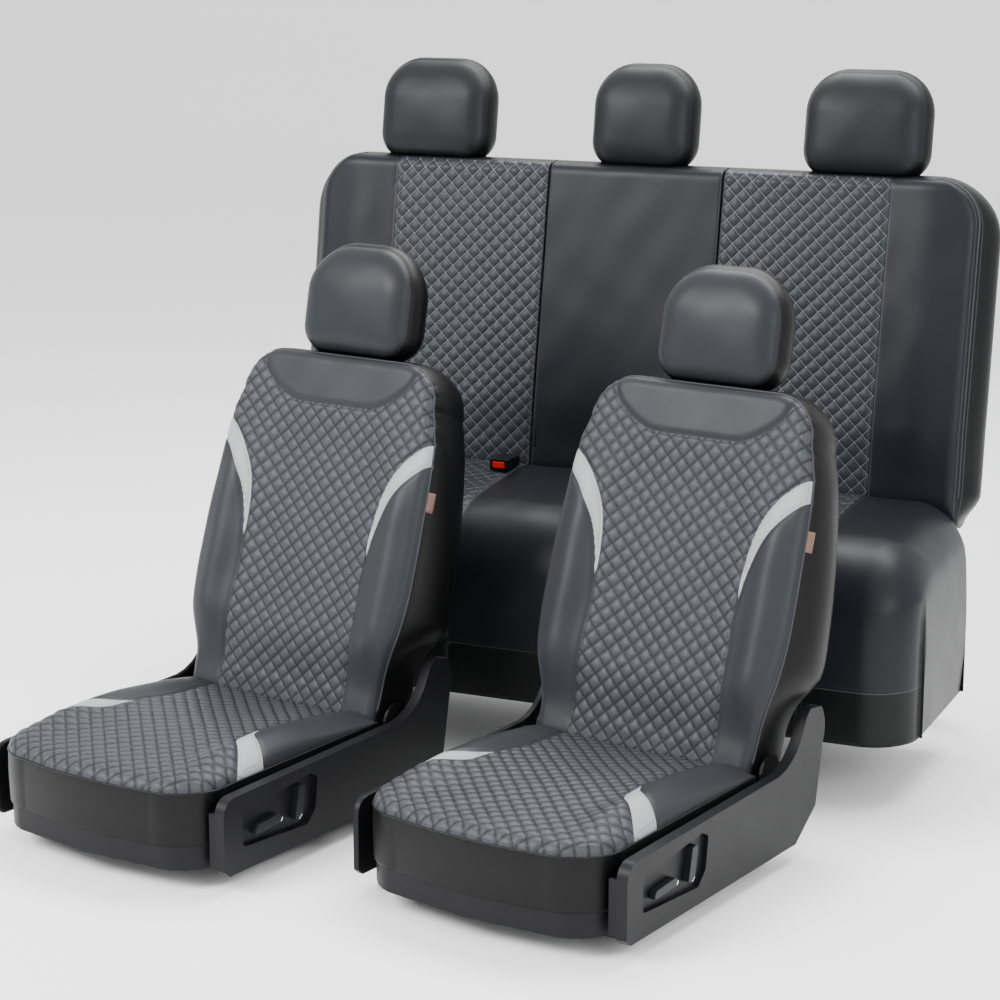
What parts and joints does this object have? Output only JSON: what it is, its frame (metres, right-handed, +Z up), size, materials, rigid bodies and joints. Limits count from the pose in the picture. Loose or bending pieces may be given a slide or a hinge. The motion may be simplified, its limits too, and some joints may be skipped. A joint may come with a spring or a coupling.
{
  "type": "seat cover set",
  "caption": "Fitted seat covers on their seats: a pair of adjustable front buckets with headrests and a split folding rear bench, quilted and piped.",
  "frame": {"origin": "on the floor, in the middle of the set's outline seen from above", "axes": "+Z up, +Y towards the rear bench's back, +X towards the driver's side, so the seats face -Y"},
  "size_m": [1.548, 1.5592, 1.3532],
  "materials": {
    "front_cover": "grained synthetic leather, diamond quilted, satin",
    "rear_cover": "grained synthetic leather, satin",
    "headrest_cover": "smooth synthetic leather, satin",
    "foam": "moulded polyurethane foam",
    "side_plastic": "grained polypropylene",
    "switch_plastic": "fine satin ABS",
    "button_red": "moulded red ABS",
    "elastic": "woven elastic webbing",
    "frame_steel": "black electrocoat",
    "rail_steel": "phosphated steel",
    "post_chrome": "chrome plate"
  },
  "bodies": {
    "floor_frame": {"driver_lower_rails": "rail_steel", "passenger_lower_rails": "rail_steel", "rear_frame": "frame_steel", "rear_cushion_foam": "foam", "rear_cushion_cover": "rear_cover", "rear_buckle": "switch_plastic"},
    "driver_cushion": {"driver_cushion_frame": "frame_steel", "driver_cushion_foam": "foam", "driver_cushion_cover": "front_cover", "driver_cover_straps": "elastic", "driver_front_trim": "side_plastic", "driver_outer_valance": "side_plastic", "driver_inner_valance": "side_plastic"},
    "driver_seat_knob": {"driver_seat_switch": "switch_plastic"},
    "driver_recline_knob": {"driver_recline_switch": "switch_plastic"},
    "driver_back": {"driver_back_frame": "frame_steel", "driver_back_foam": "foam", "driver_back_cover": "front_cover", "driver_post_guides": "switch_plastic"},
    "driver_headrest": {"driver_headrest_posts": "post_chrome", "driver_headrest_foam": "foam", "driver_headrest_cover": "headrest_cover"},
    "passenger_cushion": {"passenger_cushion_frame": "frame_steel", "passenger_cushion_foam": "foam", "passenger_cushion_cover": "front_cover", "passenger_cover_straps": "elastic", "passenger_front_trim": "side_plastic", "passenger_outer_valance": "side_plastic", "passenger_inner_valance": "side_plastic"},
    "passenger_seat_knob": {"passenger_seat_switch": "switch_plastic"},
    "passenger_recline_knob": {"passenger_recline_switch": "switch_plastic"},
    "passenger_back": {"passenger_back_frame": "frame_steel", "passenger_back_foam": "foam", "passenger_back_cover": "front_cover", "passenger_post_guides": "switch_plastic"},
    "passenger_headrest": {"passenger_headrest_posts": "post_chrome", "passenger_headrest_foam": "foam", "passenger_headrest_cover": "headrest_cover"},
    "rear_left_back": {"rear_left_back_frame": "frame_steel", "rear_left_back_foam": "foam", "rear_left_back_cover": "rear_cover"},
    "rear_left_headrest": {"rear_left_headrest_posts": "post_chrome", "rear_left_headrest_foam": "foam", "rear_left_headrest_cover": "headrest_cover"},
    "rear_centre_back": {"rear_centre_back_frame": "frame_steel", "rear_centre_back_foam": "foam", "rear_centre_back_cover": "rear_cover", "rear_zip_left": "switch_plastic", "rear_zip_right": "switch_plastic"},
    "rear_centre_headrest": {"rear_centre_headrest_posts": "post_chrome", "rear_centre_headrest_foam": "foam", "rear_centre_headrest_cover": "headrest_cover"},
    "rear_right_back": {"rear_right_back_frame": "frame_steel", "rear_right_back_foam": "foam", "rear_right_back_cover": "rear_cover"},
    "rear_right_headrest": {"rear_right_headrest_posts": "post_chrome", "rear_right_headrest_foam": "foam", "rear_right_headrest_cover": "headrest_cover"},
    "buckle_button": {"rear_buckle_button": "button_red"}
  },
  "joints": [
    {"name": "driver_seat_slide", "type": "slide", "parent": "floor_frame", "child": "driver_cushion", "axis": [-0.1908, -0.9816, 0], "range_m": [0, 0.2]},
    {"name": "driver_recline", "type": "hinge", "parent": "driver_cushion", "child": "driver_back", "pos_m": [0.36646, -0.16408, 0.168], "axis": [0.9816, -0.1908, 0], "range_deg": [-8, 15]},
    {"name": "driver_headrest_height", "type": "slide", "parent": "driver_back", "child": "driver_headrest", "axis": [0.0653, 0.3357, 0.9397], "range_m": [0, 0.07]},
    {"name": "driver_seat_switch_travel", "type": "slide", "parent": "driver_cushion", "child": "driver_seat_knob", "axis": [-0.1908, -0.9816, 0], "range_m": [-0.004, 0.004], "stiffness_N_per_m": 600},
    {"name": "driver_recline_switch_tilt", "type": "hinge", "parent": "driver_cushion", "child": "driver_recline_knob", "pos_m": [0.5781, -0.5689, 0.098], "axis": [0.9816, -0.1908, 0], "range_deg": [-8, 8], "stiffness_Nm_per_rad": 0.6},
    {"name": "passenger_seat_slide", "type": "slide", "parent": "floor_frame", "child": "passenger_cushion", "axis": [-0.1908, -0.9816, 0], "range_m": [0, 0.2]},
    {"name": "passenger_recline", "type": "hinge", "parent": "passenger_cushion", "child": "passenger_back", "pos_m": [-0.38354, -0.16408, 0.168], "axis": [0.9816, -0.1908, 0], "range_deg": [-8, 15]},
    {"name": "passenger_headrest_height", "type": "slide", "parent": "passenger_back", "child": "passenger_headrest", "axis": [0.0653, 0.3357, 0.9397], "range_m": [0, 0.07]},
    {"name": "passenger_seat_switch_travel", "type": "slide", "parent": "passenger_cushion", "child": "passenger_seat_knob", "axis": [-0.1908, -0.9816, 0], "range_m": [-0.004, 0.004], "stiffness_N_per_m": 600},
    {"name": "passenger_recline_switch_tilt", "type": "hinge", "parent": "passenger_cushion", "child": "passenger_recline_knob", "pos_m": [-0.1719, -0.5689, 0.098], "axis": [0.9816, -0.1908, 0], "range_deg": [-8, 8], "stiffness_Nm_per_rad": 0.6},
    {"name": "rear_left_fold", "type": "hinge", "parent": "floor_frame", "child": "rear_left_back", "pos_m": [0, 0.6169, 0.51], "axis": [1, 0, 0], "range_deg": [0, 37]},
    {"name": "rear_left_headrest_height", "type": "slide", "parent": "rear_left_back", "child": "rear_left_headrest", "axis": [0, 0.1736, 0.9848], "range_m": [0, 0.06]},
    {"name": "rear_centre_fold", "type": "hinge", "parent": "floor_frame", "child": "rear_centre_back", "pos_m": [0, 0.6169, 0.51], "axis": [1, 0, 0], "range_deg": [0, 37]},
    {"name": "rear_centre_headrest_height", "type": "slide", "parent": "rear_centre_back", "child": "rear_centre_headrest", "axis": [0, 0.1736, 0.9848], "range_m": [0, 0.06]},
    {"name": "rear_right_fold", "type": "hinge", "parent": "floor_frame", "child": "rear_right_back", "pos_m": [0, 0.6169, 0.51], "axis": [1, 0, 0], "range_deg": [0, 37]},
    {"name": "rear_right_headrest_height", "type": "slide", "parent": "rear_right_back", "child": "rear_right_headrest", "axis": [0, 0.1736, 0.9848], "range_m": [0, 0.06]},
    {"name": "buckle_release", "type": "slide", "parent": "floor_frame", "child": "buckle_button", "axis": [0, 1, 0], "range_m": [0, 0.003], "stiffness_N_per_m": 900}
  ]
}
